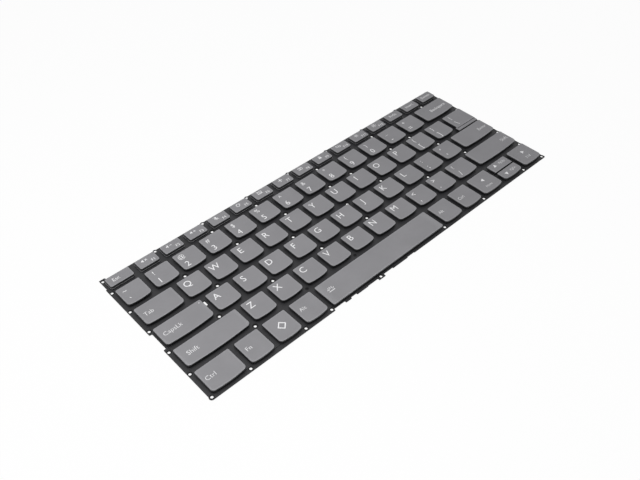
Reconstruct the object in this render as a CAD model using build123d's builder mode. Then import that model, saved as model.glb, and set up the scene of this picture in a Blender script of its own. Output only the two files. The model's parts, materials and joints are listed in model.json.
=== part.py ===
from build123d import *
from dataclasses import dataclass, replace
import math
import os

# Low-profile laptop keyboard. Millimetres, +X to the right, +Y to the back row, +Z up.
# The origin is the middle of the footprint, on the surface that the keyboard lies on.

# Key field
key_pitch = 19.0  # letter keys, centre to centre
row_pitch = 18.4  # letter rows, back edge to back edge
key_gap = 3.4  # free space between two caps of a row
row_gap = 3.4  # free space between two rows
letter_rows = 4  # rows of full depth, behind the space bar's row
backspace_width = 27.6  # after the letter pitches of its row, which is as wide as every row
tab_width = 24.7
caps_lock_width = 31.0
left_shift_width = 41.0
left_ctrl_width = 22.0
arrow_width = 17.5  # slash and the arrow keys
space_columns = 5  # letter columns under which the space bar runs
function_gap = 4.1
function_depth = 7.8
bottom_depth = 16.9
half_key_gap = 1.0  # between the up and the down arrow

# Keycaps
cap_height = 1.2
cap_wall = 1.2
cap_roof = 0.7
front_bow = 0.8  # how far the middle of the front edge stands out before its ends
bowed_corner = 1.3  # cut off each front corner of a bowed cap
straight_corner = 0.7  # and of a cap with a straight front edge
ledge_depth = 2.6  # low front step of the backslash cap
ledge_reach = 1.1  # and how far it stands out to the left
ledge_drop = 0.35

# Layers, from the bottom up
guide_thickness = 0.4
plate_thickness = 0.4
membrane_thickness = 0.3
key_travel = 1.2
stroke_clear = 0.2  # skirt above the membrane when a key is held down

# Base plate
side_margin = 2.4
back_margin = 2.2
front_margin = 1.5
stake_radius = 0.85
stake_sides = 6  # flats of the stake holes in the key field
stake_shift = 1.2  # stakes between two rows, behind the middle of the gap
rim_inset = 1.3
back_inset = 0.8  # stakes along the back edge, each in an ear
ear_radius = 1.7
ear_sides = 8
corner_step = 0.7  # the left edge stands back beside the escape key
corner_step_length = 7.4
corner_tip_width = 4.0
edge_reach = 1.1  # of the corner's tip behind the back edge, and of the front tab before the front edge
front_tab_start = 36.6  # from the left end of the space bar's place
front_tab_width = 5.0
front_tab_inset = 1.4  # middle of its stake, from its tip
front_cuts = [  # start, length and depth of the cuts in the front edge, from the same end
    (3.0, 8.2, 1.2),
    (15.6, 4.3, 0.9),
    (28.6, 8.0, 0.3),
    (41.6, 7.5, 0.6),
    (61.4, 6.0, 0.4),
]
side_notch_depth = 1.6
side_notch_length = 13.0
lamp_slot_width = 1.2
lamp_slot_length = 3.4
lamp_slot_inset = 2.9  # middle of the slot, from the back edge of its row

# Films: the light guide under the plate and the membrane on it
film_inset = 2.8  # inside the edge of the plate
window_clear = 0.3  # round the holes of the plate

# Scissor levers, domes and stabiliser bars
lever_thickness = 0.5
lever_bar = 0.7
lever_clear = 0.1  # over the membrane and under the roof of the cap
lever_side_clear = 0.6
lever_end_clear = 0.35
lever_gap = 0.3  # between the outer and the inner lever
dome_radius = 2.2
dome_sides = 6
dome_taper = 20.0
bar_wire = 0.6
bar_length = 5.0
bar_clear = 0.4
bar_least_width = 26.0  # caps wider than this have a stabiliser bar

# Keys of the six rows, from the back
function_names = ["escape"] + [f"f{number}" for number in range(1, 13)]
function_names += ["print_screen", "insert", "delete"]
number_names = ["grave", *"1234567890", "minus", "equal", "backspace"]
upper_names = ["tab", *"qwertyuiop", "left_bracket", "right_bracket", "backslash"]
home_names = ["caps_lock", *"asdfghjkl", "semicolon", "quote", "enter"]
lower_names = ["left_shift", *"zxcvbnm", "comma", "period", "slash", "right_shift"]
bottom_names = ["left_ctrl", "fn", "super", "left_alt", "space", "right_alt", "right_ctrl"]
bottom_names += ["arrow_left", "arrow_up", "arrow_right"]

letter_width = key_pitch - key_gap
letter_depth = row_pitch - row_gap
field_width = (len(number_names) - 1) * key_pitch + backspace_width
plate_width = field_width + 2 * side_margin
rows_depth = function_depth + row_gap + letter_rows * row_pitch + bottom_depth
plate_depth = rows_depth + back_margin + front_margin
membrane_z = guide_thickness + plate_thickness
membrane_top = membrane_z + membrane_thickness
skirt_z = membrane_top + stroke_clear + key_travel
pocket_depth = cap_height - cap_roof
roof_z = skirt_z + pocket_depth
field_left = -field_width / 2
field_back = plate_depth / 2 - back_margin
number_back = field_back - function_depth - row_gap


@dataclass
class Key:
    """One key, by its cap's outline at the skirt."""

    name: str
    left: float
    width: float
    back: float
    depth: float
    bow: float
    corner: float

    def middle_x(self):
        return self.left + self.width / 2

    def middle_y(self):
        return self.back - (self.depth - self.bow) / 2

    def pocket(self):
        """Width and depth of the hollow under the cap."""
        return self.width - 2 * cap_wall, self.depth - self.bow - 2 * cap_wall

    def gap_x(self, gap=key_gap):
        """Middle of the gap to the next key on the right."""
        return self.left + self.width + gap / 2


def lay_row(names, back, depth, widths, gap=key_gap, bow=front_bow, corner=bowed_corner):
    """Lay a row from the left edge of the key field. Its last key runs to the right edge."""
    keys = {}
    left = field_left
    for name in names:
        width = widths.get(name, letter_width)
        if name == names[-1]:
            width = field_width + field_left - left
        keys[name] = Key(name, left, width, back, depth, bow, corner)
        left += width + gap
    return keys


def row_back(index):
    """Back edge of a row, counted from the number row."""
    return number_back - index * row_pitch


# The six rows, laid out
function_width = (field_width - letter_width) / (len(function_names) - 1) - function_gap
function_widths = dict.fromkeys(function_names[1:], function_width)
bottom_widths = {
    "left_ctrl": left_ctrl_width,
    "space": space_columns * key_pitch - key_gap,
    "arrow_left": arrow_width,
    "arrow_up": arrow_width,
}

function_row = lay_row(
    function_names, field_back, function_depth, function_widths, function_gap, 0, straight_corner
)
number_row = lay_row(number_names, row_back(0), letter_depth, {})
upper_row = lay_row(upper_names, row_back(1), letter_depth, {"tab": tab_width})
home_row = lay_row(home_names, row_back(2), letter_depth, {"caps_lock": caps_lock_width})
lower_row = lay_row(
    lower_names, row_back(3), letter_depth, {"left_shift": left_shift_width, "slash": arrow_width}
)
bottom_row = lay_row(bottom_names, row_back(4), bottom_depth, bottom_widths)

# The backslash and up keys end square, the space bar straight, and up and down share one place
half_depth = (bottom_depth - half_key_gap) / 2
up_key = bottom_row["arrow_up"]
bottom_row["arrow_down"] = replace(
    up_key, name="arrow_down", back=up_key.back - half_depth - half_key_gap, depth=half_depth
)
bottom_row["arrow_up"] = replace(up_key, depth=half_depth, bow=0, corner=0)
bottom_row["space"] = replace(bottom_row["space"], bow=0, corner=straight_corner)
upper_row["backslash"] = replace(upper_row["backslash"], bow=0, corner=0)

rows = [function_row, number_row, upper_row, home_row, lower_row, bottom_row]
keys = [key for row in rows for key in row.values()]
wide_keys = [key for key in keys if key.width > bar_least_width]

# Stake holes stand in the gaps between keys, and along the rim of the plate
rim_x = plate_width / 2 - rim_inset
back_line = plate_depth / 2 - back_inset
front_line = -plate_depth / 2 + ear_radius
gap_lines = [row_back(index) + row_gap / 2 for index in range(letter_rows + 1)]
stake_lines = [line + stake_shift for line in gap_lines]


def stakes_after(row, names, line, gap=key_gap):
    """Points in a line of stakes, each in the gap on the right of a named key."""
    return [(row[name].gap_x(gap), line) for name in names]


space_left = bottom_row["space"].left - key_gap
tab_stake = (
    space_left + front_tab_start + front_tab_width / 2,
    -plate_depth / 2 - edge_reach + front_tab_inset,
)
field_stakes = (
    stakes_after(function_row, ["f3", "f5", "f8", "f11", "insert"], stake_lines[0], function_gap)
    + stakes_after(number_row, ["1", "3", "5", "7", "8", "0", "minus"], stake_lines[1])
    + stakes_after(upper_row, ["q", "r", "i", "left_bracket"], stake_lines[2])
    + stakes_after(home_row, ["h"], gap_lines[2])
    + stakes_after(home_row, ["caps_lock", "s", "f", "h", "l", "quote"], stake_lines[3])
    + stakes_after(lower_row, ["left_shift"], stake_lines[4])
)
back_stakes = stakes_after(
    function_row, ["f1", "f3", "f5", "f7", "f9", "f11", "print_screen"], back_line, function_gap
)
rim_stakes = (
    stakes_after(
        bottom_row, ["left_ctrl", "super", "left_alt", "space", "right_ctrl", "arrow_up"], front_line
    )
    + [tab_stake, (-rim_x + corner_step, back_line), (-rim_x, gap_lines[0]), (-rim_x, gap_lines[2])]
    + [(side * rim_x, gap_lines[index]) for index in (3, 4) for side in (-1, 1)]
)
corner_stakes = [(-rim_x, front_line), (rim_x, front_line)]
round_stakes = corner_stakes + [(-rim_x, gap_lines[1]), (rim_x, gap_lines[1])]
caps_lock = home_row["caps_lock"]
lamp_slot = (caps_lock.gap_x(), caps_lock.back - lamp_slot_inset)


def save(piece, name):
    """Label a finished piece and write it."""
    piece.part.label = name
    export_step(piece.part, f"parts/{name}.step")


def make_film(z, thickness):
    """A sheet inside the rim of the plate, with windows over its holes."""
    window = 2 * (stake_radius + window_clear)
    with BuildPart() as film:
        with BuildSketch(Plane.XY.offset(z)):
            Rectangle(plate_width - 2 * film_inset, plate_depth - 2 * film_inset)
            with Locations(*field_stakes):
                Rectangle(window, window, mode=Mode.SUBTRACT)
            with Locations(lamp_slot):
                Rectangle(
                    lamp_slot_width + 2 * window_clear,
                    lamp_slot_length + 2 * window_clear,
                    mode=Mode.SUBTRACT,
                )
        extrude(amount=thickness)
    return film


def make_caps(row_keys):
    """Hollow caps with cut front corners. A bowed cap's front edge is an arc."""
    with BuildPart() as caps:
        for key in row_keys:
            right = key.left + key.width
            front = key.back - key.depth
            with BuildSketch(Plane.XY.offset(skirt_z)) as outline:
                with BuildLine():
                    sides = Polyline(
                        (right, front + key.bow),
                        (right, key.back),
                        (key.left, key.back),
                        (key.left, front + key.bow),
                    )
                    if key.bow > 0:
                        ThreePointArc(sides @ 1, (key.middle_x(), front), sides @ 0)
                    else:
                        Line(sides @ 1, sides @ 0)
                make_face()
                if key.corner > 0:
                    chamfer(outline.vertices().group_by(Axis.Y)[0], key.corner)
            extrude(amount=cap_height)
            if key.name == "backslash":
                with BuildSketch(Plane.XY.offset(skirt_z)):
                    with Locations((right, front + cap_wall)):
                        Rectangle(
                            key.width + ledge_reach, ledge_depth + cap_wall, align=(Align.MAX, Align.MAX)
                        )
                extrude(amount=cap_height - ledge_drop)
            with BuildSketch(Plane.XY.offset(skirt_z)):
                with Locations((key.middle_x(), key.middle_y())):
                    Rectangle(*key.pocket())
            extrude(amount=pocket_depth, mode=Mode.SUBTRACT)
    return caps


def u_frame(width, length, bar):
    """A flat U: two arms along Y and a cross bar at their +Y end."""
    Rectangle(width, length)
    with Locations((0, -bar)):
        Rectangle(width - 2 * bar, length, mode=Mode.SUBTRACT)


def lever_size(key):
    """Width and length of a key's outer lever, which swings in the pocket of the cap."""
    width, length = key.pocket()
    full_length = letter_depth - front_bow - 2 * (cap_wall + bar_wire + bar_clear + lever_end_clear)
    most_width = letter_width - 2 * cap_wall
    return min(width, most_width) - 2 * lever_side_clear, min(length - 2 * lever_end_clear, full_length)


def raised_tilt(length, thickness):
    """Tilt in degrees at which a bar just reaches from the membrane to the roof of a cap."""
    rise = (roof_z - membrane_top) / 2 - lever_clear
    return math.degrees(math.asin(2 * rise / math.hypot(length, thickness)) - math.atan(thickness / length))


def tilted_plane(x, y, tilt, turn=0):
    """Plane midway between membrane and cap roof, tipped about X and turned about Z."""
    return Plane((x, y, (membrane_top + roof_z) / 2)).rotated((tilt, 0, turn))


os.makedirs("parts", exist_ok=True)

save(make_film(0, guide_thickness), "light_guide")
save(make_film(membrane_z, membrane_thickness), "membrane")

with BuildPart() as base_plate:
    with BuildSketch(Plane.XY.offset(guide_thickness)):
        Rectangle(plate_width, plate_depth)
        with Locations((-plate_width / 2, plate_depth / 2)):
            Rectangle(
                corner_step, corner_step_length, align=(Align.MIN, Align.MAX), mode=Mode.SUBTRACT
            )
        with Locations((-plate_width / 2 + corner_step, plate_depth / 2)):
            Rectangle(corner_tip_width, edge_reach, align=Align.MIN)
        with Locations((-plate_width / 2, caps_lock.middle_y())):
            Rectangle(
                side_notch_depth, side_notch_length, align=(Align.MIN, Align.CENTER), mode=Mode.SUBTRACT
            )
        for start, length, depth in front_cuts:
            with Locations((space_left + start, -plate_depth / 2)):
                Rectangle(length, depth, align=Align.MIN, mode=Mode.SUBTRACT)
        with Locations((space_left + front_tab_start, -plate_depth / 2)):
            Rectangle(front_tab_width, edge_reach, align=(Align.MIN, Align.MAX))
        with Locations(*corner_stakes, *back_stakes):
            RegularPolygon(ear_radius, ear_sides, rotation=180 / ear_sides, major_radius=False)
        with Locations(*round_stakes):
            Circle(stake_radius, mode=Mode.SUBTRACT)
        with Locations(*field_stakes, *back_stakes, *rim_stakes):
            RegularPolygon(stake_radius, stake_sides, mode=Mode.SUBTRACT)
        with Locations(lamp_slot):
            Rectangle(lamp_slot_width, lamp_slot_length, mode=Mode.SUBTRACT)
    extrude(amount=plate_thickness)
save(base_plate, "base_plate")

with BuildPart() as rubber_domes:
    with BuildSketch(Plane.XY.offset(membrane_top)):
        for key in keys:
            lever_room = lever_size(key)[1] / 2 - lever_bar - lever_end_clear
            with Locations((key.middle_x(), key.middle_y())):
                RegularPolygon(min(dome_radius, lever_room), dome_sides)
    extrude(amount=roof_z - membrane_top - lever_clear, taper=dome_taper)
save(rubber_domes, "rubber_domes")

with BuildPart() as outer_levers:
    for key in keys:
        width, length = lever_size(key)
        with BuildSketch(tilted_plane(key.middle_x(), key.middle_y(), -raised_tilt(length, lever_thickness))):
            u_frame(width, length, lever_bar)
    extrude(amount=lever_thickness / 2, both=True)
save(outer_levers, "scissor_outer_levers")

with BuildPart() as inner_levers:
    for key in keys:
        width, length = lever_size(key)
        tilt = raised_tilt(length, lever_thickness)
        with BuildSketch(tilted_plane(key.middle_x(), key.middle_y(), tilt, 180)):
            u_frame(width - 2 * (lever_bar + lever_gap), length, lever_bar)
    extrude(amount=lever_thickness / 2, both=True)
save(inner_levers, "scissor_inner_levers")

with BuildPart() as stabiliser_bars:
    tilt = raised_tilt(bar_length, bar_wire)
    for key in wide_keys:
        width, depth = key.pocket()
        y = key.middle_y() + depth / 2 - bar_clear - bar_length / 2
        with BuildSketch(tilted_plane(key.middle_x(), y, tilt)):
            u_frame(width - 2 * bar_clear, bar_length, bar_wire)
    extrude(amount=bar_wire / 2, both=True)
save(stabiliser_bars, "stabiliser_bars")

# The function row and the number row up to its backspace share a node each; every other key has its own
number_keys = [key for key in number_row.values() if key.name != "backspace"]
shared_keys = [*function_row.values(), *number_keys]
save(make_caps(function_row.values()), "function_row_keys")
save(make_caps(number_keys), "number_row_keys")
for key in keys:
    if key not in shared_keys:
        save(make_caps([key]), f"key_{key.name}")
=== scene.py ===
import json
import math

import bmesh
import bpy
from mathutils import Matrix, Vector


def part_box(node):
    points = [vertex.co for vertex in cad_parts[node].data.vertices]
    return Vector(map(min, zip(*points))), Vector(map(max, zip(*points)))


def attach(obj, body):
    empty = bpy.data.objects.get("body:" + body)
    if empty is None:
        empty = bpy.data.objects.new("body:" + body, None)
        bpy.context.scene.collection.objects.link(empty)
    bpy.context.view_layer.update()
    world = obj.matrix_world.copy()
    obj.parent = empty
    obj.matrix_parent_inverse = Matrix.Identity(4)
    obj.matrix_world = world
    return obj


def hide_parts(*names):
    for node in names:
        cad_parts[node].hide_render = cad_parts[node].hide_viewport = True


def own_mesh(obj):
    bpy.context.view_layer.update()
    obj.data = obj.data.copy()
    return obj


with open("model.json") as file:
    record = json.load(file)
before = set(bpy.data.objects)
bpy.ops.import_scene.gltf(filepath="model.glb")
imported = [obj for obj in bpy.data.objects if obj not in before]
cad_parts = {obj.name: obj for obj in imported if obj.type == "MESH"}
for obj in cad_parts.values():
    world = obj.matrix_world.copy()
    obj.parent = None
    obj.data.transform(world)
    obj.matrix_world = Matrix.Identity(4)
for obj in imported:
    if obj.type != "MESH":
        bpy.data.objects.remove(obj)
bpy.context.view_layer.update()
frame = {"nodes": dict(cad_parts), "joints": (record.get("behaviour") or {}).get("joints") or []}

# Lengths are millimetres in the shared frame, and meshes are scaled to metres when they are made.
# The floor, the light and the camera are in metres.
MM = 0.001

# Layers and caps, as in the solids
PLATE_BOTTOM, PLATE_TOP, FILM_TOP = 0.4, 0.8, 1.1
SKIRT, ROOF, CAP_TOP = 2.5, 3.0, 3.7
CAP_WALL = 1.2
BOW = 0.8
PITCH, ROW_PITCH = 19.0, 18.4
LETTER_WIDTH, LETTER_DEPTH = 15.6, 15.0
KEY_GAP, FUNCTION_GAP = 3.4, 4.1
LEDGE_DEPTH, LEDGE_REACH, LEDGE_DROP = 2.6, 1.1, 0.35

# Finer shape of the caps. A tone is the share of grey paint; where it is low the sides are darkened towards
# near black, which is painted shade. The second number of a ring is the share of painted highlight along the
# rounded top edges.
EDGE_ROUND = 0.26
# Tones of the rings round the top edge, and their shares of painted highlight.
EDGE_TONES, EDGE_GLINTS = (0.2, 0.65, 1.0, 1.0, 1.0), (0.0, 0.4, 0.9, 0.8, 0.5)
# Rings of the top: their size as a share, and their share of painted highlight.
TOP_RINGS = ((0.96, 0.3), (0.9, 0.0), (0.78, 0.0), (0.6, 0.0), (0.4, 0.0), (0.2, 0.0))
SKIRT_CHAMFER, SKIRT_TONE = 0.1, 0.05
SIDE_START, SIDE_BAND, SIDE_TONE = 0.2, 0.7, 0.08
FOOT_DROP, FOOT_REACH, FOOT_TONE = 0.75, 0.25, 0.7
DISH = 0.1
DRAFT_BACK, DRAFT_FRONT, DRAFT_SIDE, DRAFT_BETWEEN_ARROWS = 0.45, 0.05, 0.12, 0.1
BOWED_FRONT, BOWED_BACK = 2.1, 0.8
STRAIGHT_FRONT, STRAIGHT_BACK = 1.1, 0.7
SQUARE, LEAST_ROUND = 0.35, 0.15
BACK_STEPS, CORNER_STEPS, FRONT_STEPS = 4, 6, 8
# Round of the ledge, and the thin dark block painted as the shadow of the gap in front of the cap.
LEDGE_ROUND, GAP_SHADOW_WIDTH, GAP_SHADOW_DEPTH, GAP_SHADOW_LIFT = 0.7, 0.3, 0.1, 0.01

# Levers, domes and bars
LEVER_BAR, LEVER_THICKNESS, LEVER_GAP = 0.7, 0.5, 0.3
LEVER_CLEAR, LEVER_SIDE, LEVER_END = 0.1, 0.6, 0.35
LEVER_CUT, LEVER_CORNER = 0.12, 0.5
PIN_RADIUS, PIN_SETBACK, PIVOT_LAP, OUTER_PIN, INNER_PIN = 0.2, 0.3, 0.1, 0.25, 0.2
DOME_RADIUS, DOME_STEPS = 2.2, 18
BAR_WIRE, BAR_LENGTH, BAR_CLEAR, BAR_LEAST_WIDTH, BAR_CORNER = 0.6, 5.0, 0.4, 26.0, 0.7

# Legends
PRINT_LIFT, PRINT_HALF = 0.014, 0.005
ICON_SCALE, ARROW_SIZE = 1.2, 1.4
LETTER_X, LETTER_HEIGHT, DIGIT_HEIGHT, THIN = 4.6, 4.2, 4.0, 0.01
SIGN_HEIGHT, ANGLE_HEIGHT = 3.0, 3.6

# Materials
GLOSS_SPREAD, GRAIN_STRENGTH = 0.07, 0.5


def node(tree, kind, **values):
    made = tree.nodes.new(kind)
    for key, value in values.items():
        setattr(made, key, value)
    return made


def noise(tree, coord, scale, detail=3.0, rough=0.55):
    made = node(tree, "ShaderNodeTexNoise")
    made.inputs["Scale"].default_value = scale
    made.inputs["Detail"].default_value = detail
    made.inputs["Roughness"].default_value = rough
    tree.links.new(coord, made.inputs["Vector"])
    return made.outputs["Fac"]


def remap(tree, value, low, high, start=0.3, end=0.7):
    made = node(tree, "ShaderNodeMapRange")
    made.inputs["From Min"].default_value = start
    made.inputs["From Max"].default_value = end
    made.inputs["To Min"].default_value = low
    made.inputs["To Max"].default_value = high
    tree.links.new(value, made.inputs["Value"])
    return made.outputs["Result"]


def tint(tree, factor, first, second):
    """Mix of two colours, each a fixed colour or a socket."""
    made = node(tree, "ShaderNodeMix", data_type="RGBA")
    tree.links.new(factor, made.inputs["Factor"])
    for name, value in (("A", first), ("B", second)):
        socket = [s for s in made.inputs if s.name == name and s.type == "RGBA"][0]
        if isinstance(value, tuple):
            socket.default_value = (*value, 1)
        else:
            tree.links.new(value, socket)
    return [s for s in made.outputs if s.type == "RGBA"][0]


def surface(name, dark, light, rough, mottle, grain, grain_depth, metallic=0.0, specular=0.5):
    """Moulded, coated or printed surface: patchy colour, uneven gloss and a fine grain."""
    material = bpy.data.materials.new(name)
    material.use_nodes = True
    tree = material.node_tree
    shader = tree.nodes["Principled BSDF"]
    coord = node(tree, "ShaderNodeTexCoord").outputs["Object"]
    patches = noise(tree, coord, mottle)
    fine = noise(tree, coord, grain, 2.0)
    colour = tint(tree, remap(tree, patches, 0, 1), dark, light)
    tree.links.new(colour, shader.inputs["Base Color"])
    gloss = remap(tree, fine, rough - GLOSS_SPREAD, rough + GLOSS_SPREAD)
    tree.links.new(gloss, shader.inputs["Roughness"])
    bump = node(tree, "ShaderNodeBump")
    bump.inputs["Strength"].default_value = GRAIN_STRENGTH
    bump.inputs["Distance"].default_value = grain_depth * MM
    tree.links.new(fine, bump.inputs["Height"])
    tree.links.new(bump.outputs["Normal"], shader.inputs["Normal"])
    shader.inputs["Metallic"].default_value = metallic
    shader.inputs["Specular IOR Level"].default_value = specular
    return material, tree, shader, coord, colour


def keycap_material():
    """Matt grey paint over the tops, with painted shade darkening the sides and a painted highlight in
    patches along the top edges.
    """
    material, tree, shader, coord, colour = surface(
        "keycap_paint", (0.214, 0.2115, 0.222), (0.234, 0.2315, 0.243), 0.56, 70, 5200, 0.012, specular=0.4
    )
    tone = node(tree, "ShaderNodeAttribute", attribute_name="tone").outputs["Fac"]
    # Painted shade: where the tone is low, the grey paint gives way to this near-black.
    painted = tint(tree, remap(tree, tone, 0, 1, 0.0, 1.0), (0.018, 0.018, 0.0195), colour)
    # Painted highlight: where its share is high, the rounded top edges are lightened in patches towards a
    # pale grey.
    rub = node(tree, "ShaderNodeAttribute", attribute_name="rub").outputs["Fac"]
    glint_share = node(tree, "ShaderNodeMath", operation="MULTIPLY")
    tree.links.new(rub, glint_share.inputs[0])
    tree.links.new(remap(tree, noise(tree, coord, 900), 0.25, 1.0), glint_share.inputs[1])
    final = tint(tree, glint_share.outputs["Value"], painted, (0.33, 0.33, 0.345))
    tree.links.new(final, shader.inputs["Base Color"])
    return material


def light_guide_material():
    """Clear sheet with rows of milky dots that let the light out."""
    material, tree, shader, coord, colour = surface(
        "guide_sheet", (0.62, 0.64, 0.66), (0.7, 0.72, 0.74), 0.3, 40, 3000, 0.01
    )
    dots = node(tree, "ShaderNodeTexVoronoi", feature="F1")
    dots.inputs["Scale"].default_value = 900
    dots.inputs["Randomness"].default_value = 0.1
    tree.links.new(coord, dots.inputs["Vector"])
    spot = remap(tree, dots.outputs["Distance"], 1, 0, 0.22, 0.32)
    tree.links.new(tint(tree, spot, colour, (0.86, 0.87, 0.88)), shader.inputs["Base Color"])
    return material


cap_paint_and_light = keycap_material()
plate_coat = surface(
    "plate_coat", (0.0145, 0.0145, 0.016), (0.0215, 0.0215, 0.0235), 0.6, 120, 2600, 0.02, specular=0.35
)[0]
film_print = surface(
    "film_print", (0.0135, 0.0135, 0.015), (0.0195, 0.0195, 0.0215), 0.5, 90, 3400, 0.012, specular=0.35
)[0]
# Near-black for the painted shade round the holes and in the pits.
hole_shade_black = surface(
    "hole_shade_black", (0.004, 0.004, 0.0045), (0.008, 0.008, 0.0085), 0.6, 300, 2600, 0.01, specular=0.2
)[0]
guide_sheet = light_guide_material()
dome_rubber = surface("dome_rubber", (0.3, 0.31, 0.32), (0.38, 0.39, 0.4), 0.5, 300, 2000, 0.01)[0]
lever_plastic = surface("lever_plastic", (0.05, 0.05, 0.053), (0.075, 0.075, 0.08), 0.42, 400, 3000, 0.008)[0]
bar_steel = surface(
    "bar_steel", (0.5, 0.5, 0.51), (0.62, 0.62, 0.63), 0.28, 500, 4000, 0.004, metallic=1.0
)[0]
legend_print = surface("legend_print", (0.74, 0.74, 0.75), (0.84, 0.84, 0.85), 0.5, 500, 5000, 0.006)[0]


# Meshes
class Shape:
    """Points, faces and a few numbers per point, gathered before they become one object."""

    def __init__(self):
        self.points, self.faces, self.tone, self.rub = [], [], [], []

    def ring(self, outline, height, tone=0.0, rub=0.0):
        """Add a loop of points. height is a number or a function of x and y."""
        first = len(self.points)
        for x, y in outline:
            z = height(x, y) if callable(height) else height
            self.points.append((x, y, z))
            self.tone.append(tone)
            self.rub.append(rub)
        return list(range(first, len(self.points)))

    def join(self, lower, upper):
        count = len(lower)
        for i in range(count):
            j = (i + 1) % count
            self.faces.append((lower[i], lower[j], upper[j], upper[i]))

    def skin(self, rings):
        """Join loops one after the other."""
        for lower, upper in zip(rings, rings[1:]):
            self.join(lower, upper)

    def close(self, ring, x, y, z, tone=0.0, upward=True):
        """Close a loop with a fan about a middle point."""
        middle = len(self.points)
        self.points.append((x, y, z))
        self.tone.append(tone)
        self.rub.append(0.0)
        for i in range(len(ring)):
            pair = (ring[i], ring[(i + 1) % len(ring)])
            self.faces.append((*pair, middle) if upward else (pair[1], pair[0], middle))

    def prism(self, outline, low, high):
        """Closed block over a flat outline; low and high are numbers or functions of x and y."""
        bottom, top = self.ring(outline, low), self.ring(outline, high)
        self.join(bottom, top)
        self.faces.append(tuple(top))
        self.faces.append(tuple(reversed(bottom)))

    def add(self, points, faces):
        """Add a finished mesh."""
        first = len(self.points)
        self.points += points
        self.faces += [tuple(first + i for i in face) for face in faces]
        self.tone += [0.0] * len(points)
        self.rub += [0.0] * len(points)

    def rod(self, loops):
        """Closed bar through loops of points that have their heights."""
        rings = []
        for loop in loops:
            first = len(self.points)
            self.add(loop, [])
            rings.append(list(range(first, len(self.points))))
        self.skin(rings)
        self.faces.append(tuple(reversed(rings[0])))
        self.faces.append(tuple(rings[-1]))

    def build(self, name, material, sharp=32):
        """Make the object, smooth but for edges that turn by more than sharp degrees."""
        mesh = bpy.data.meshes.new(name)
        mesh.from_pydata([Vector(p) * MM for p in self.points], [], self.faces)
        work = bmesh.new()
        work.from_mesh(mesh)
        bmesh.ops.recalc_face_normals(work, faces=work.faces)
        work.to_mesh(mesh)
        work.free()
        for label, values in (("tone", self.tone), ("rub", self.rub)):
            mesh.attributes.new(label, "FLOAT", "POINT").data.foreach_set("value", values)
        mesh.polygons.foreach_set("use_smooth", [True] * len(mesh.polygons))
        mesh.set_sharp_from_angle(angle=math.radians(sharp))
        mesh.materials.append(material)
        made = bpy.data.objects.new(name, mesh)
        bpy.context.scene.collection.objects.link(made)
        return made


def arc(cx, cy, radius, start, end, steps):
    """Points along an arc, angles in degrees."""
    angles = [math.radians(start + (end - start) * i / steps) for i in range(steps + 1)]
    return [(cx + radius * math.cos(a), cy + radius * math.sin(a)) for a in angles]


def circle(point, radius, steps=20):
    return arc(*point, radius, 0, 360 - 360 / steps, steps - 1)


def box_path(w, h, cx=0.0, cy=0.0):
    corners = ((-1, -1), (1, -1), (1, 1), (-1, 1))
    return [(cx + sx * w / 2, cy + sy * h / 2) for sx, sy in corners]


def mesh_of(curve):
    """Points and faces of a filled curve or a word, which is then deleted."""
    holder = bpy.data.objects.new(curve.name, curve)
    bpy.context.scene.collection.objects.link(holder)
    graph = bpy.context.evaluated_depsgraph_get()
    mesh = bpy.data.meshes.new_from_object(holder.evaluated_get(graph))
    points = [tuple(v.co) for v in mesh.vertices]
    faces = [tuple(p.vertices) for p in mesh.polygons]
    bpy.data.objects.remove(holder)
    bpy.data.curves.remove(curve)
    bpy.data.meshes.remove(mesh)
    return points, faces


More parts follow.
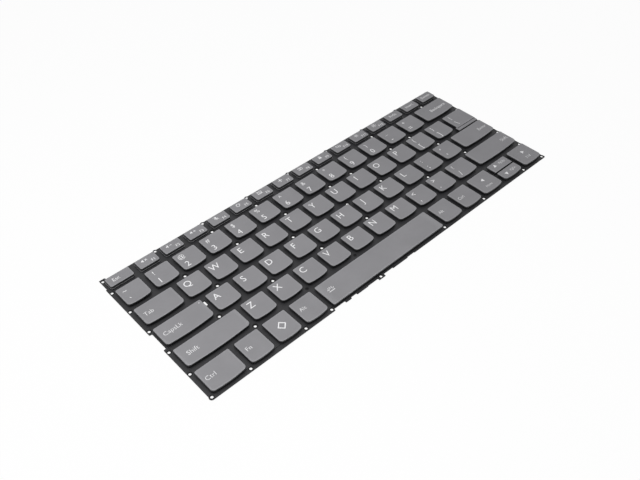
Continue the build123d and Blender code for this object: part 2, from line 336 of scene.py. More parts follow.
# Keys
class Key:
    """Place and size of one key, with the form of its cap."""

    def __init__(self, name, left, right, back, front, body, style="bowed"):
        self.name, self.body, self.style = name, body, style
        self.left, self.right, self.back, self.front = left, right, back, front
        self.bow = BOW if style in ("bowed", "down") else 0.0
        fronts = {"bowed": BOWED_FRONT, "down": BOWED_FRONT, "straight": STRAIGHT_FRONT}
        backs = {"bowed": BOWED_BACK, "straight": STRAIGHT_BACK, "up": BOWED_BACK, "ledge": BOWED_BACK}
        self.front_round, self.back_round = fronts.get(style, SQUARE), backs.get(style, SQUARE)
        self.draft_front = 0.0 if style in ("up", "ledge") else DRAFT_FRONT
        self.draft_back = DRAFT_BETWEEN_ARROWS if style == "down" else DRAFT_BACK
        self.drop, self.foot, self.skirt_tone = 0.0, 0.0, SKIRT_TONE
        if style == "straight" and body == "base":
            self.drop, self.foot, self.skirt_tone = FOOT_DROP, FOOT_REACH, FOOT_TONE
        self.dish = 0.0 if name == "space" else DISH * min(1.0, (back - front) / LETTER_WIDTH)

    def middle(self):
        return (self.left + self.right) / 2, (self.back + self.front + self.bow) / 2

    def pocket(self):
        return self.right - self.left - 2 * CAP_WALL, self.back - self.front - self.bow - 2 * CAP_WALL

    def lever_size(self):
        width, length = self.pocket()
        full = LETTER_DEPTH - BOW - 2 * (CAP_WALL + BAR_WIRE + BAR_CLEAR + LEVER_END)
        most = LETTER_WIDTH - 2 * CAP_WALL
        return min(width, most) - 2 * LEVER_SIDE, min(length - 2 * LEVER_END, full)

    def top(self, x, y):
        """Height of the slightly hollow top."""
        cx, cy = (self.left + self.right) / 2, (self.back + self.front) / 2
        u = min(1.0, abs(x - cx) / (self.right - cx))
        v = min(1.0, abs(y - cy) / (self.back - cy))
        return CAP_TOP - self.dish * (1 - u * u) * (1 - v * v)

    def outline(self, inset=0.0, rise=0.0):
        """Rounded outline, anticlockwise, moved inwards by inset and by the slope of the sides.

        rise is the share of the sides' height, from 0 to 1.
        """
        left, right = self.left + inset + DRAFT_SIDE * rise, self.right - inset - DRAFT_SIDE * rise
        back, front = self.back - inset - self.draft_back * rise, self.front + inset + self.draft_front * rise
        rb, rf = max(LEAST_ROUND, self.back_round - inset), max(LEAST_ROUND, self.front_round - inset)
        cx = (left + right) / 2
        points = arc(left + rb, back - rb, rb, 90, 180, BACK_STEPS)
        if self.bow == 0:
            run = right - left - 2 * rf
            points += arc(left + rf, front + rf, rf, 180, 270, CORNER_STEPS)
            points += [(left + rf + run * i / FRONT_STEPS, front) for i in range(1, FRONT_STEPS)]
            points += arc(right - rf, front + rf, rf, 270, 360, CORNER_STEPS)
        else:
            half = (self.right - self.left) / 2
            big = (half * half + self.bow**2) / (2 * self.bow) - inset
            cy = front + big
            fy = cy - math.sqrt((big - rf) ** 2 - (cx - left - rf) ** 2)
            turn = math.degrees(math.atan2(fy - cy, left + rf - cx)) % 360
            points += arc(left + rf, fy, rf, 180, turn, CORNER_STEPS)
            points += arc(cx, cy, big, turn, 540 - turn, FRONT_STEPS)[1:-1]
            points += arc(right - rf, fy, rf, 540 - turn, 360, CORNER_STEPS)
        return points + arc(right - rb, back - rb, rb, 0, 90, BACK_STEPS)


def add_cap(shape, key):
    """Hollow cap: skirt, soft top edge, slightly hollow top, and the pocket underneath."""
    cx, cy = (key.left + key.right) / 2, (key.back + key.front) / 2
    edge = CAP_TOP - EDGE_ROUND
    base = SKIRT - key.drop
    rings = [shape.ring(key.outline(SKIRT_CHAMFER - key.foot), base, key.skirt_tone)]
    levels = [(base + SKIRT_CHAMFER, -key.foot, key.skirt_tone)]
    # Painted shade: the rings low on the sides have the lowest tones.
    levels += [(base + SIDE_START, 0, 0), (SKIRT + SIDE_BAND, 0, SIDE_TONE)]
    for height, inset, tone in levels:
        rise = max(0.0, (height - SKIRT) / (edge - SKIRT))
        rings.append(shape.ring(key.outline(inset, rise), height, tone))
    # Round the top edge the painted shade fades out and the painted highlight comes in.
    for i, (tone, rub) in enumerate(zip(EDGE_TONES, EDGE_GLINTS)):
        turn = math.radians(90 * i / (len(EDGE_TONES) - 1))
        inset = EDGE_ROUND * (1 - math.cos(turn))
        rings.append(shape.ring(key.outline(inset, 1), edge + EDGE_ROUND * math.sin(turn), tone, rub))
    rim = key.outline(EDGE_ROUND, 1)
    for share, rub in TOP_RINGS:
        scaled = [(cx + (x - cx) * share, cy + (y - cy) * share) for x, y in rim]
        rings.append(shape.ring(scaled, key.top, 1.0, rub))
    shape.skin(rings)
    shape.close(rings[-1], cx, cy, key.top(cx, cy), 1.0)
    mouth, roof = shape.ring(key.outline(CAP_WALL), base), shape.ring(key.outline(CAP_WALL), ROOF)
    shape.join(mouth, rings[0])
    shape.join(roof, mouth)
    shape.close(roof, cx, cy, ROOF, upward=False)


def add_ledge(shape, key):
    """Lower ledge in front of a cap, with a thin dark block between the two that is painted as the shadow of
    the gap.
    """
    start, end = key.front + CAP_WALL, key.front - LEDGE_DEPTH
    ledge = Key("ledge", key.left - LEDGE_REACH, key.right, start, end, key.body, "up")
    ledge.dish, ledge.front_round = 0.0, LEDGE_ROUND
    top = CAP_TOP - LEDGE_DROP
    rings = [shape.ring(ledge.outline(SKIRT_CHAMFER), SKIRT)]
    rings.append(shape.ring(ledge.outline(), SKIRT + SKIRT_CHAMFER))
    # Low tones paint shade on the ledge's sides.
    for inset, lift, tone in ((0, 0.25, 0.3), (0.07, 0.07, 0.8), (0.25, 0, 1.0)):
        rings.append(shape.ring(ledge.outline(inset), top - lift, tone))
    shape.skin(rings)
    cx, cy = (ledge.left + ledge.right) / 2, (ledge.back + ledge.front) / 2
    shape.close(rings[-1], cx, cy, top, 1.0)
    shape.close(rings[0], cx, cy, SKIRT, upward=False)
    # Painted shadow of the gap: a thin dark block that rises just above the ledge top.
    edge = key.front - GAP_SHADOW_WIDTH
    gap_shadow = [(key.left, edge), (key.right, edge), (key.right, key.front), (key.left, key.front)]
    shape.prism(gap_shadow, top - GAP_SHADOW_DEPTH, top + GAP_SHADOW_LIFT)


def sides(node_name):
    """Left, right, back and front of a node."""
    low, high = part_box(node_name)
    return low.x / MM, high.x / MM, high.y / MM, low.y / MM


styles = {"space": "straight", "arrow_up": "up", "arrow_down": "down", "backslash": "ledge"}
keys = {}
for joint in frame["joints"]:
    key_name = joint["child"]
    left, right, back, front = sides("key_" + key_name)
    if key_name == "backslash":
        left, front = left + LEDGE_REACH, front + LEDGE_DEPTH
    keys[key_name] = Key(key_name, left, right, back, front, key_name, styles.get(key_name, "bowed"))

left, right, back, front = sides("function_row_keys")
function_names = ["escape", *(f"f{i}" for i in range(1, 13)), "print_screen", "insert", "delete"]
step = (right - left - LETTER_WIDTH) / (len(function_names) - 1)
for i, key_name in enumerate(function_names):
    start = left if i == 0 else left + LETTER_WIDTH + FUNCTION_GAP + (i - 1) * step
    end = left + LETTER_WIDTH + i * step
    keys[key_name] = Key(key_name, start, end, back, front, "base", "straight")

left, right, back, front = sides("number_row_keys")
number_names = ["grave", *"1234567890", "minus", "equal"]
for i, key_name in enumerate(number_names):
    keys[key_name] = Key(key_name, left + i * PITCH, left + i * PITCH + LETTER_WIDTH, back, front, "base")

shared = {"function": function_names, "number": number_names}
single = [key for key in keys.values() if key.body != "base"]


def finish_piece(piece, body, slot, *nodes):
    """Put a piece on its body and hide the nodes that it replaces; slot is not used."""
    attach(piece, body)
    if nodes:
        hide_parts(*nodes)
    return piece


for key in single:
    shape = Shape()
    add_cap(shape, key)
    if key.style == "ledge":
        add_ledge(shape, key)
    finish_piece(shape.build("cap_" + key.name, cap_paint_and_light), key.body, "keycap", "key_" + key.name)
for row, names in shared.items():
    shape = Shape()
    for key_name in names:
        add_cap(shape, keys[key_name])
    finish_piece(shape.build(row + "_caps", cap_paint_and_light), "base", "keycap", row + "_row_keys")


# Legends
def flat_text(body, size, thin=0.0):
    """Points and faces of a word, baseline at 0, both in millimetres."""
    curve = bpy.data.curves.new("word", "FONT")
    curve.body, curve.size, curve.extrude, curve.resolution_u = body, size, PRINT_HALF, 3
    curve.offset = -thin * size
    return mesh_of(curve)


CAP_SHARE = max(p[1] for p in flat_text("H", 10.0)[0]) / 10.0


class Print:
    """Legends of one piece. Places are from a key's left and back edges; they lie on its top."""

    def __init__(self):
        self.shape, self.scale = Shape(), 1.0

    def place(self, key, x, y):
        return key.left + x, key.back - y

    def word(self, key, body, x, y, height, align="left", thin=0.0):
        """A word whose capitals are height tall, about y; x is its left, middle or right end."""
        points, faces = flat_text(body, height / CAP_SHARE, thin)
        low, high = min(p[0] for p in points), max(p[0] for p in points)
        shift = {"left": low, "middle": (low + high) / 2, "right": high}[align]
        ox, oy = self.place(key, x, y)
        moved = []
        for px, py, pz in points:
            wx, wy = ox + px - shift, oy + py - height / 2
            moved.append((wx, wy, key.top(wx, wy) + PRINT_LIFT + pz))
        self.shape.add(moved, faces)

    def area(self, key, x, y, outline):
        """A filled outline about a place."""
        ox, oy = self.place(key, x, y)
        moved = [(ox + px * self.scale, oy + py * self.scale) for px, py in outline]
        low = PRINT_LIFT - PRINT_HALF
        high = PRINT_LIFT + PRINT_HALF
        self.shape.prism(moved, lambda a, b: key.top(a, b) + low, lambda a, b: key.top(a, b) + high)

    def line(self, key, x, y, path, width=0.28, closed=False):
        """A drawn line about a place."""
        ends = path[1:] + path[:1] if closed else path[1:]
        for (ax, ay), (bx, by) in zip(path, ends):
            along = Vector((bx - ax, by - ay)).normalized() * (width / 2)
            side = Vector((-along.y, along.x))
            corners = [
                (ax - along.x + side.x, ay - along.y + side.y),
                (ax - along.x - side.x, ay - along.y - side.y),
                (bx + along.x - side.x, by + along.y - side.y),
                (bx + along.x + side.x, by + along.y + side.y),
            ]
            self.area(key, x, y, corners)


SPEAKER = [(-1.6, -0.35), (-1.1, -0.35), (-0.45, -0.95), (-0.45, 0.95), (-1.1, 0.35), (-1.6, 0.35)]


def sun(ink, key, x, y, reach):
    ink.line(key, x, y, arc(0, 0, 0.5, 0, 330, 11), 0.26, True)
    for k in range(8):
        c, s = math.cos(k * math.pi / 4), math.sin(k * math.pi / 4)
        ink.line(key, x, y, [(0.95 * c, 0.95 * s), (reach * c, reach * s)], 0.24)


def function_icon(ink, key, number, x, y):
    ink.scale = ICON_SCALE
    if number in (1, 2, 3):
        ink.area(key, x, y, SPEAKER)
    if number == 1:
        ink.line(key, x, y, [(0.4, -0.5), (1.4, 0.5)])
        ink.line(key, x, y, [(0.4, 0.5), (1.4, -0.5)])
    elif number == 2:
        ink.line(key, x, y, [(0.5, 0), (1.5, 0)])
    elif number == 3:
        ink.line(key, x, y, [(0.5, 0), (1.5, 0)])
        ink.line(key, x, y, [(1.0, -0.5), (1.0, 0.5)])
    elif number == 4:
        ink.area(key, x, y, arc(0, 0.7, 0.42, 0, 180, 6) + arc(0, 0.0, 0.42, 180, 360, 6))
        ink.line(key, x, y, arc(0, 0.05, 0.85, 180, 360, 8), 0.24)
        ink.line(key, x, y, [(0, -0.8), (0, -1.25)], 0.24)
        ink.line(key, x, y, [(-1.1, 1.1), (1.1, -1.1)], 0.24)
    elif number == 5:
        ink.line(key, x, y, arc(0, 0, 0.95, 60, 360, 14), 0.3)
        ink.area(key, x, y, [(0.4, 0.1), (1.5, 0.1), (0.95, 0.85)])
    elif number == 6:
        ink.line(key, x, y, box_path(2.4, 1.8), 0.26, True)
        ink.line(key, x, y, [(-1.2, -0.4), (1.2, -0.4)], 0.22)
        ink.line(key, x, y, [(-1.3, 1.2), (1.3, -1.2)], 0.22)
    elif number == 7:
        ink.area(key, x, y, [(-0.16, -1.1), (0.16, -1.1), (0.16, 1.2), (0, 1.4), (-0.16, 1.2)])
        ink.area(key, x, y, [(-1.3, -0.35), (0, 0.1), (1.3, -0.35), (1.3, -0.05), (0, 0.7), (-1.3, -0.05)])
        ink.area(key, x, y, [(-0.6, -1.15), (0, -0.95), (0.6, -1.15), (0, -0.65)])
    elif number == 8:
        ink.line(key, x, y, box_path(2.4, 1.6), 0.26, True)
        ink.line(key, x, y, arc(0, 0, 0.42, 0, 320, 8), 0.24, True)
    elif number == 9:
        ink.area(key, x, y, box_path(1.7, 1.2, 0, -0.5))
        ink.line(key, x, y, [(-0.5, 0.1), *arc(0, 0.45, 0.5, 180, 0, 6), (0.5, 0.1)], 0.26)
    elif number == 10:
        ink.line(key, x, y, box_path(1.5, 1.2, -0.55, 0.2), 0.24, True)
        ink.line(key, x, y, box_path(1.2, 1.0, 0.8, -0.3), 0.24, True)
    else:
        sun(ink, key, x, y, 1.15 if number == 11 else 1.45)
    ink.scale = 1.0


def arrow_head(ink, key, x, y, degrees):
    c, s = math.cos(math.radians(degrees)), math.sin(math.radians(degrees))
    back, side = -0.7 * ARROW_SIZE, 0.95 * ARROW_SIZE
    corners = [(ARROW_SIZE, 0), (back, side), (back, -side)]
    ink.area(key, x, y, [(px * c - py * s, px * s + py * c) for px, py in corners])


# Middle of the letters of each row, from the back edge
letter_rows = {
    **dict.fromkeys("qwertyuiop", 5.0),
    **dict.fromkeys("asdfghjkl", 4.9),
    **dict.fromkeys("zxcvbnm", 4.4),
}
sign_keys = [*number_names, "left_bracket", "right_bracket", "backslash"]
sign_keys += ["semicolon", "quote", "comma", "period", "slash"]
upper_signs = dict(zip(sign_keys, "~!@#$%^&*()_+{}|:\"<>?"))
lower_signs = dict(zip(sign_keys, "`1234567890-=[]\\;',./"))
# Places of the upper and the lower sign, from the left and back edges: the usual ones, and those of
# signs that hang above or below the middle of a line
usual_places = ((4.2, 3.9), (4.2, 10.8))
sign_places = {
    "grave": ((3.9, 4.0), (3.9, 11.8)),
    "quote": ((3.9, 5.3), (3.9, 12.2)),
    "semicolon": ((4.0, 3.8), (3.6, 10.4)),
    "comma": ((3.9, 3.9), (3.1, 9.8)),
    "period": ((3.9, 3.9), (3.0, 9.7)),
}
# Word, its left end from the left edge, its middle from the back edge, and its height
left_words = {
    "tab": ("Tab", 2.6, 7.5, 2.6),
    "caps_lock": ("CapsLk", 2.6, 7.3, 2.7),
    "left_shift": ("Shift", 4.5, 7.3, 2.8),
    "left_ctrl": ("Ctrl", 2.0, 8.0, 2.7),
    "fn": ("Fn", 2.8, 7.7, 2.7),
    "left_alt": ("Alt", 2.4, 7.2, 2.4),
    "right_alt": ("Alt", 2.4, 8.0, 2.2),
    "right_ctrl": ("Ctrl", 2.2, 8.0, 2.2),
}
right_words = {"backspace": "Backspace", "enter": "Enter", "right_shift": "Shift"}
function_words = {"print_screen": "PrtSc", "insert": "Insert", "delete": "Delete"}
# Way the arrow points, its place, and the word under it with its place and height
arrows = {
    "arrow_left": (180, (8.6, 6.7), "Home", (8.7, 12.3), 1.6),
    "arrow_right": (0, (9.6, 6.6), "End", (9.1, 11.8), 1.9),
    "arrow_up": (90, (5.1, 3.3), "PgUp", (12.0, 3.3), 1.8),
    "arrow_down": (270, (5.1, 4.2), "PgDn", (12.1, 3.7), 1.7),
}


def print_key(ink, key):
    width, depth = key.right - key.left, key.back - key.front
    name = key.name
    if name in letter_rows:
        ink.word(key, name.upper(), LETTER_X, letter_rows[name], LETTER_HEIGHT, "middle")
    elif name in upper_signs:
        upper, lower = sign_places.get(name, usual_places)
        height = ANGLE_HEIGHT if name in ("comma", "period") else SIGN_HEIGHT
        ink.word(key, upper_signs[name], *upper, height, "middle")
        ink.word(key, lower_signs[name], *lower, DIGIT_HEIGHT, "middle")
    elif name in left_words:
        ink.word(key, *left_words[name], thin=THIN)
    elif name in right_words:
        thin, end = (0.0, 2.8) if name == "backspace" else (THIN, 2.0)
        ink.word(key, right_words[name], width - end, depth * 0.5, 2.5, "right", thin)
    elif name == "escape":
        ink.word(key, "Esc", 5.6, depth * 0.5, 2.4, "middle")
    elif name in function_words:
        ink.word(key, function_words[name], width / 2, depth * 0.47, 2.1, "middle")
    elif name in function_names:
        function_icon(ink, key, int(name[1:]), 5.2, 3.0)
        ink.word(key, name.upper(), 9.8, 5.6, 1.9, "middle")
    elif name in arrows:
        way, head, word, place, height = arrows[name]
        arrow_head(ink, key, *head, way)
        ink.word(key, word, *place, height, "middle", THIN)
    elif name == "super":
        ink.line(key, width / 2, depth * 0.48, [(0, 2.5), (-2.5, 0), (0, -2.5), (2.5, 0)], 0.6, True)
    elif name == "space":
        x, y = 6.4, depth * 0.5 - 1.0
        ink.line(key, x, y, [(-1.9, -1.2), (1.9, -1.2)], 0.4)
        for degrees in (25, 58, 90, 122, 155):
            c, s = math.cos(math.radians(degrees)), math.sin(math.radians(degrees))
            ink.line(key, x, y, [(1.4 * c, 1.4 * s - 0.7), (2.5 * c, 2.5 * s - 0.7)], 0.32)
    if name == "caps_lock":
        ink.area(key, width - 1.9, 2.3, box_path(0.6, 0.5))


for key in single:
    ink = Print()
    print_key(ink, key)
    finish_piece(ink.shape.build("legend_" + key.name, legend_print), key.body, None)
for row, names in shared.items():
    ink = Print()
    for key_name in names:
        print_key(ink, keys[key_name])
    finish_piece(ink.shape.build(row + "_legends", legend_print), "base", None)


# Domes, levers and stabiliser bars
def add_dome(shape, key):
    """Rubber dome: foot, sloping wall, and a plunger with a hollow in its top."""
    cx, cy = key.middle()
    foot = min(DOME_RADIUS, key.lever_size()[1] / 2 - LEVER_BAR - LEVER_END)
    rise = ROOF - FILM_TOP - LEVER_CLEAR
    profile = [(1.0, 0.0), (1.0, 0.09), (0.93, 0.13), (0.84, 0.17), (0.72, 0.55), (0.66, 0.72), (0.6, 0.78)]
    profile += [(0.58, 0.96), (0.54, 1.0), (0.36, 1.0), (0.3, 0.93)]
    rings = [shape.ring(circle((cx, cy), foot * r, DOME_STEPS), FILM_TOP + rise * h) for r, h in profile]
    shape.skin(rings)
    shape.close(rings[-1], cx, cy, FILM_TOP + rise * 0.92)
    shape.close(rings[0], cx, cy, FILM_TOP, upward=False)


def sweep(shape, path, section, place):
    """Bar along a flat path. section is (sideways, up) points; place turns points into the frame."""
    loops = []
    for i, (x, y) in enumerate(path):
        before, after = Vector(path[max(0, i - 1)]), Vector(path[min(len(path) - 1, i + 1)])
        first = (Vector((x, y)) - before).normalized() if i else None
        second = (after - Vector((x, y))).normalized() if i < len(path) - 1 else None
        along = ((first or second) + (second or first)).normalized()
        grow = 1 / max(0.5, along.dot(first or second))
        side = Vector((along.y, -along.x)) * grow
        loops.append([tuple(place @ Vector((x + side.x * s, y + side.y * s, u))) for s, u in section])
    shape.rod(loops)


def u_path(width, length, bar, corner):
    """Middle line of a U: two arms along Y and a cross bar at their +Y end, with round corners."""
    x, y = width / 2 - bar / 2, length / 2 - bar / 2
    path = [(-x, -length / 2), *arc(-x + corner, y - corner, corner, 180, 90, 4)]
    return path + [*arc(x - corner, y - corner, corner, 90, 0, 4), (x, -length / 2)]


def tilt_of(length, thickness):
    """Angle at which a bar reaches from the film to the roof of the cap."""
    rise = (ROOF - FILM_TOP) / 2 - LEVER_CLEAR
    return math.asin(2 * rise / math.hypot(length, thickness)) - math.atan(thickness / length)


def tilted(x, y, tilt, turn=0.0):
    place = Matrix.Translation((x, y, (FILM_TOP + ROOF) / 2))
    return place @ Matrix.Rotation(turn, 4, "Z") @ Matrix.Rotation(tilt, 4, "X")


def bar_section(width, height, cut):
    w, h = width / 2, height / 2
    lower = [(-w, -h + cut), (-w + cut, -h), (w - cut, -h), (w, -h + cut)]
    return lower + [(w, h - cut), (w - cut, h), (-w + cut, h), (-w, h - cut)]


def add_pin(shape, x0, x1, y, radius, place):
    """Short round pin along X."""
    section = circle((0, 0), radius, 8)
    shape.rod([[tuple(place @ Vector((x, y + a, b))) for a, b in section] for x in (x0, x1)])


def add_levers(shape, key):
    """Outer and inner lever of a scissor, crossing at two pivots."""
    cx, cy = key.middle()
    width, length = key.lever_size()
    tilt = tilt_of(length, LEVER_THICKNESS)
    section = bar_section(LEVER_BAR, LEVER_THICKNESS, LEVER_CUT)
    outer, inner = tilted(cx, cy, -tilt), tilted(cx, cy, tilt, math.pi)
    inside = width - 2 * (LEVER_BAR + LEVER_GAP)
    sweep(shape, u_path(width, length, LEVER_BAR, LEVER_CORNER), section, outer)
    sweep(shape, u_path(inside, length, LEVER_BAR, LEVER_CORNER), section, inner)
    reach, half, end = width / 2 - LEVER_BAR, inside / 2, -length / 2 + PIN_SETBACK
    for side in (-1, 1):
        add_pin(shape, side * (reach + PIVOT_LAP), side * (half - PIVOT_LAP), 0, PIN_RADIUS, outer)
        add_pin(shape, side * (reach - OUTER_PIN), side * reach, end, PIN_RADIUS, outer)
        add_pin(shape, side * half, side * (half + INNER_PIN), end, PIN_RADIUS, inner)


def add_bar(shape, key):
    """Bent wire that keeps a wide cap level."""
    cx, cy = key.middle()
    width, depth = key.pocket()
    y = cy + depth / 2 - BAR_CLEAR - BAR_LENGTH / 2
    section = circle((0, 0), BAR_WIRE / 2, 10)
    path = u_path(width - 2 * BAR_CLEAR, BAR_LENGTH, BAR_WIRE, BAR_CORNER)
    sweep(shape, path, section, tilted(cx, y, tilt_of(BAR_LENGTH, BAR_WIRE)))


def settle(shape, name, material, slot, key, *nodes):
    """Finish a piece of the mechanism; a piece under a key with a joint gets a mesh of its own."""
    piece = finish_piece(shape.build(name, material, 50), "base", slot, *nodes)
    if key:
        cx, cy = key.middle()
        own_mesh(piece)


lever_nodes = ("scissor_outer_levers", "scissor_inner_levers")
fixed_domes, fixed_levers = Shape(), Shape()
for key in keys.values():
    moving = key.body != "base"
    domes, levers = (Shape(), Shape()) if moving else (fixed_domes, fixed_levers)
    add_dome(domes, key)
    add_levers(levers, key)
    if moving:
        settle(domes, "dome_" + key.name, dome_rubber, "dome_rubber", key, "rubber_domes")
        settle(levers, "scissor_" + key.name, lever_plastic, "lever", key, *lever_nodes)
    if key.right - key.left > BAR_LEAST_WIDTH:
        bar = Shape()
        add_bar(bar, key)
        settle(bar, "stabiliser_" + key.name, bar_steel, "bar_steel", key, "stabiliser_bars")
settle(fixed_domes, "fixed_row_domes", dome_rubber, "dome_rubber", None, "rubber_domes")
settle(fixed_levers, "fixed_row_scissors", lever_plastic, "lever", None, *lever_nodes)


# Plate, membrane and light guide
HALF_X, HALF_Y, REACH = 139.7, 52.7, 1.1
# Radii of the holes, the windows and the pits, and the widths of the painted shade rings round them.
HOLE, WINDOW, BLIND, SHADE_RING, PIT_SHADE_RING = 0.85, 1.15, 0.75, 0.6, 0.35
RIM_SLACK, RIM_HEIGHT, RING_HEIGHT = 0.03, 0.03, 0.02
EAR, BACK_EAR, EAR_X, EAR_Y, EAR_CORNER = 1.7, 1.4, 138.4, -51.0, 0.6
BACK_INSET, STAKE_SHIFT, BLIND_SHIFT = 0.8, 1.2, 1.8
BACK_CORNER, BACK_CUT = 0.5, 0.15
CORNER_STEP, CORNER_LENGTH, CORNER_TIP, CORNER_SLOPE = 0.7, 7.4, 4.0, 0.6
NOTCH_DEPTH, NOTCH_HALF = 1.6, 6.5
TAB_START, TAB_WIDTH, TAB_INSET = 36.6, 5.0, 1.4
# Start from the space bar's gap, length and depth of each cut in the front edge
FRONT_CUTS = ((3.0, 8.2, 1.2), (15.6, 4.3, 0.9), (28.6, 8.0, 0.3), (41.6, 7.5, 0.6), (61.4, 6.0, 0.4))
SIDE_ROUND, FRONT_ROUND, ROUND_POINTS = 0.5, 0.3, 4
SLOT_SIZE, SLOT_ROUND, SLOT_SETBACK = (1.2, 3.4), 0.35, 2.9
FILM_INSET, FILM_ROUND = 2.8, 1.0
FILM_SLOT_SIZE, FILM_SLOT_ROUND = (1.8, 4.0), 0.5


def gap_after(name, gap=KEY_GAP):
    """Middle of the gap to the right of a key."""
    return keys[name].right + gap / 2


def rounded(points, radius):
    """Outline with every corner rounded as far as its sides allow."""
    made = []
    for i, point in enumerate(points):
        here, before, after = Vector(point), Vector(points[i - 1]), Vector(points[(i + 1) % len(points)])
        reach = min(radius, (before - here).length * 0.45, (after - here).length * 0.45)
        a, b = here + (before - here).normalized() * reach, here + (after - here).normalized() * reach
        for k in range(ROUND_POINTS):
            t = k / (ROUND_POINTS - 1)
            made.append(tuple(a * (1 - t) ** 2 + here * 2 * t * (1 - t) + b * t * t))
    return made


def sheet(name, loops, low, high, material):
    """Flat sheet between two heights; a loop inside another is a hole."""
    curve = bpy.data.curves.new(name, "CURVE")
    curve.dimensions, curve.fill_mode, curve.extrude = "2D", "BOTH", (high - low) / 2
    for loop in loops:
        spline = curve.splines.new("POLY")
        spline.points.add(len(loop) - 1)
        spline.points.foreach_set("co", [c for x, y in loop for c in (x, y, 0, 1)])
        spline.use_cyclic_u = True
    points, faces = mesh_of(curve)
    shape = Shape()
    shape.add([(x, y, z + (low + high) / 2) for x, y, z in points], faces)
    return shape.build(name, material)


def circles(points, *radii):
    """Circles of each radius in turn about all the points."""
    return [circle(p, radius) for radius in radii for p in points]


# Stakes stand in the gaps between the keys, on the middle lines of the gaps between rows or just behind them
lines = [keys["grave"].back + KEY_GAP / 2 - i * ROW_PITCH for i in range(5)]
stake_lines = [y + STAKE_SHIFT for y in lines]
field_stakes = [(gap_after(n, FUNCTION_GAP), stake_lines[0]) for n in ("f3", "f5", "f8", "f11", "insert")]
field_stakes += [(gap_after(n), stake_lines[1]) for n in ("1", "3", "5", "7", "8", "0", "minus")]
field_stakes += [(gap_after(n), stake_lines[2]) for n in ("q", "r", "i", "left_bracket")]
field_stakes += [(gap_after(n), stake_lines[3]) for n in ("caps_lock", "s", "f", "h", "l", "quote")]
field_stakes += [(gap_after("h"), lines[2]), (gap_after("left_shift"), stake_lines[4])]
space_left = keys["space"].left - KEY_GAP
back_line = HALF_Y - BACK_INSET
back_names = ("f1", "f3", "f5", "f7", "f9", "f11", "print_screen")
back_stakes = [(gap_after(n, FUNCTION_GAP), back_line) for n in back_names]
front_names = ("left_ctrl", "super", "left_alt", "space", "right_ctrl", "arrow_up")
rim_stakes = [(gap_after(n), EAR_Y) for n in front_names]
rim_stakes += [(space_left + TAB_START + TAB_WIDTH / 2, -HALF_Y - REACH + TAB_INSET)]
rim_stakes += [(-EAR_X + CORNER_STEP, back_line), (-EAR_X, lines[0]), (-EAR_X, lines[2])]
rim_stakes += [(side * EAR_X, y) for y in (lines[1], lines[3], lines[4], EAR_Y) for side in (-1, 1)]
caps_lock = keys["caps_lock"]
lamp = (gap_after("caps_lock"), caps_lock.back - SLOT_SETBACK)
blind = [(gap_after(n), lines[4] + BLIND_SHIFT) for n in ("x", "v")]

# Outline of the plate: down the left side, along the front, up the right side and back along the ears
step_x, step_y = -HALF_X + CORNER_STEP, HALF_Y - CORNER_LENGTH
notch_x, notch_y = -HALF_X + NOTCH_DEPTH, caps_lock.middle()[1]
left_side = [
    (step_x, HALF_Y),
    (step_x, step_y),
    (-HALF_X, step_y),
    (-HALF_X, notch_y + NOTCH_HALF),
    (notch_x, notch_y + NOTCH_HALF),
    (notch_x, notch_y - NOTCH_HALF),
    (-HALF_X, notch_y - NOTCH_HALF),
    (-HALF_X, EAR_Y),
]
front_edge = []
for start, length, depth in sorted([*FRONT_CUTS, (TAB_START, TAB_WIDTH, -REACH)]):
    left, right, front = space_left + start, space_left + start + length, -HALF_Y
    for point in ((left, front), (left, front + depth), (right, front + depth), (right, front)):
        if point not in front_edge[-1:]:
            front_edge.append(point)
ear_turn = math.degrees(math.acos((HALF_X - EAR_X) / EAR))
back_turn = math.degrees(math.asin(BACK_INSET / BACK_EAR))
front_edge = [(-EAR_X, -HALF_Y), *front_edge, (EAR_X, -HALF_Y)]
plate_outline = [(step_x, HALF_Y + REACH)]
plate_outline += rounded(left_side, SIDE_ROUND)[ROUND_POINTS:-ROUND_POINTS]
plate_outline += arc(-EAR_X, EAR_Y, EAR, 180 - ear_turn, 270, 10)
plate_outline += rounded(front_edge, FRONT_ROUND)[ROUND_POINTS:-ROUND_POINTS]
plate_outline += arc(EAR_X + EAR - EAR_CORNER, -HALF_Y + EAR_CORNER, EAR_CORNER, 270, 360, 5)
plate_outline += arc(EAR_X, EAR_Y, EAR, 0, ear_turn, 5)
plate_outline += [(HALF_X, HALF_Y - BACK_CORNER), (HALF_X - BACK_CUT, HALF_Y - BACK_CUT)]
plate_outline += [(HALF_X - BACK_CORNER, HALF_Y)]
for x, y in reversed(back_stakes):
    plate_outline += arc(x, y, BACK_EAR, back_turn, 180 - back_turn, 10)
plate_outline += [(step_x + CORNER_TIP, HALF_Y), (step_x + CORNER_TIP - CORNER_SLOPE, HALF_Y + REACH)]
plate_loops = [plate_outline, *circles(field_stakes + back_stakes + rim_stakes, HOLE)]
plate_loops += [rounded(box_path(*SLOT_SIZE, *lamp), SLOT_ROUND)]
plate = sheet("stamped_plate", plate_loops, PLATE_BOTTOM, PLATE_TOP, plate_coat)
finish_piece(plate, "base", "plate", "base_plate")

# Painted shade: dark rings round the holes, and dark discs at the bottom of the pits
hole_shade_loops = circles(rim_stakes, HOLE + SHADE_RING, HOLE) + circles(field_stakes, WINDOW - RIM_SLACK, HOLE)
hole_shade_loops += circles(blind, BLIND - RIM_SLACK)
hole_shade_rims = sheet("painted_hole_shade_rims", hole_shade_loops, PLATE_TOP, PLATE_TOP + RIM_HEIGHT, hole_shade_black)
finish_piece(hole_shade_rims, "base", "plate")

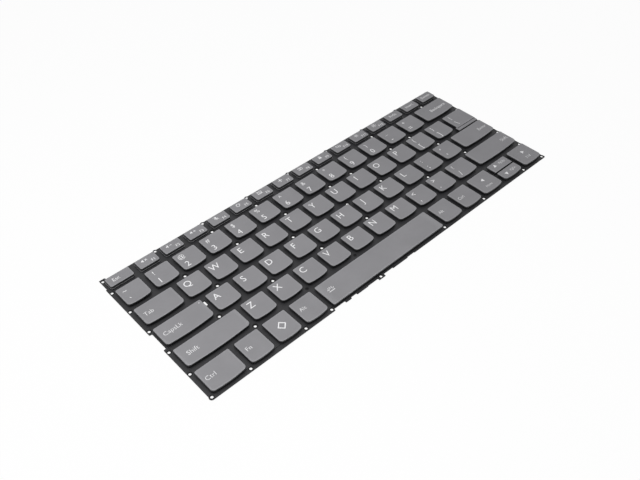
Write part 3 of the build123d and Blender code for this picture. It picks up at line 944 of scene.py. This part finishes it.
film_loops = [rounded(box_path(2 * (HALF_X - FILM_INSET), 2 * (HALF_Y - FILM_INSET)), FILM_ROUND)]
film_loops += circles(field_stakes, WINDOW) + circles(blind, BLIND)
film_loops += [rounded(box_path(*FILM_SLOT_SIZE, *lamp), FILM_SLOT_ROUND)]
film = sheet("printed_membrane", film_loops, PLATE_TOP, FILM_TOP, film_print)
finish_piece(film, "base", "membrane", "membrane")
# Painted shade: dark rings on the membrane round its windows and pits.
window_shade_loops = circles(field_stakes, WINDOW + SHADE_RING, WINDOW) + circles(blind, BLIND + PIT_SHADE_RING, BLIND)
window_shade_rings = sheet("window_shade_rings", window_shade_loops, FILM_TOP, FILM_TOP + RING_HEIGHT, hole_shade_black)
finish_piece(window_shade_rings, "base", "membrane")

guide = frame["nodes"]["light_guide"]
guide.data.materials.clear()
guide.data.materials.append(guide_sheet)


# Floor, light and camera
def seen_directly(tree):
    """1 for rays from the camera, from gloss or through glass."""
    path = node(tree, "ShaderNodeLightPath")
    first = node(tree, "ShaderNodeMath", operation="MAXIMUM")
    tree.links.new(path.outputs["Is Camera Ray"], first.inputs[0])
    tree.links.new(path.outputs["Is Glossy Ray"], first.inputs[1])
    second = node(tree, "ShaderNodeMath", operation="MAXIMUM")
    tree.links.new(first.outputs["Value"], second.inputs[0])
    tree.links.new(path.outputs["Is Transmission Ray"], second.inputs[1])
    return second.outputs["Value"]


FLOOR_SIDE, FLOOR_LEVEL, FLOOR_GLOW = 6.0, -0.0002, 0.95
SKY_LIGHT, SKY_SEEN = 0.26, 1.0
# Camera as fitted to the key corners in the photograph; angles in degrees
LENS, SENSOR, AZIMUTH, ELEVATION = 41.708, 36.0, -42.946, 45.21
CAMERA_PLACE = (-0.237624, -0.236028, 0.315487)

floor_mesh = bpy.data.meshes.new("floor")
corners = [(x, y, FLOOR_LEVEL) for x, y in box_path(FLOOR_SIDE, FLOOR_SIDE)]
floor_mesh.from_pydata(corners, [], [(0, 1, 2, 3)])
floor = bpy.data.objects.new("floor", floor_mesh)
bpy.context.scene.collection.objects.link(floor)
paper = bpy.data.materials.new("paper")
paper.use_nodes = True
tree = paper.node_tree
shader = tree.nodes["Principled BSDF"]
shader.inputs["Base Color"].default_value = (0.82, 0.82, 0.82, 1)
shader.inputs["Roughness"].default_value = 0.9
shader.inputs["Specular IOR Level"].default_value = 0.1
glow = node(tree, "ShaderNodeEmission")
glow.inputs["Strength"].default_value = 1.0
share = node(tree, "ShaderNodeMath", operation="MULTIPLY")
share.inputs[1].default_value = FLOOR_GLOW
tree.links.new(seen_directly(tree), share.inputs[0])
blend = node(tree, "ShaderNodeMixShader")
tree.links.new(share.outputs["Value"], blend.inputs["Fac"])
tree.links.new(shader.outputs["BSDF"], blend.inputs[1])
tree.links.new(glow.outputs["Emission"], blend.inputs[2])
tree.links.new(blend.outputs["Shader"], tree.nodes["Material Output"].inputs["Surface"])
floor_mesh.materials.append(paper)

world = bpy.data.worlds.new("studio")
bpy.context.scene.world = world
world.use_nodes = True
tree = world.node_tree
sky = tree.nodes["Background"]
sky.inputs["Color"].default_value = (1, 1, 1, 1)
level = node(tree, "ShaderNodeMapRange")
level.inputs["To Min"].default_value = SKY_LIGHT
level.inputs["To Max"].default_value = SKY_SEEN
tree.links.new(seen_directly(tree), level.inputs["Value"])
tree.links.new(level.outputs["Result"], sky.inputs["Strength"])


def area_light(name, place, target, size, watts):
    lamp_data = bpy.data.lights.new(name, "AREA")
    lamp_data.shape, lamp_data.size, lamp_data.energy = "SQUARE", size, watts
    made = bpy.data.objects.new(name, lamp_data)
    made.location = place
    made.rotation_mode = "QUATERNION"
    made.rotation_quaternion = (Vector(target) - Vector(place)).to_track_quat("-Z", "Y")
    bpy.context.scene.collection.objects.link(made)


area_light("overhead", (-0.18, -0.05, 0.45), (-0.1, 0.0, 0.0), 0.4, 2.2)

scene = bpy.context.scene
scene.view_settings.view_transform = "Standard"
camera_data = bpy.data.cameras.new("camera")
camera_data.sensor_width, camera_data.lens = SENSOR, LENS
camera_data.clip_start, camera_data.clip_end = 0.01, 20
camera = bpy.data.objects.new("camera", camera_data)
scene.collection.objects.link(camera)
azimuth, elevation = math.radians(AZIMUTH), math.radians(ELEVATION)
level_share = math.cos(elevation)
away = Vector((math.sin(azimuth) * level_share, -math.cos(azimuth) * level_share, math.sin(elevation)))
camera.location = CAMERA_PLACE
camera.rotation_mode = "QUATERNION"
camera.rotation_quaternion = (-away).to_track_quat("-Z", "Y")
scene.camera = camera
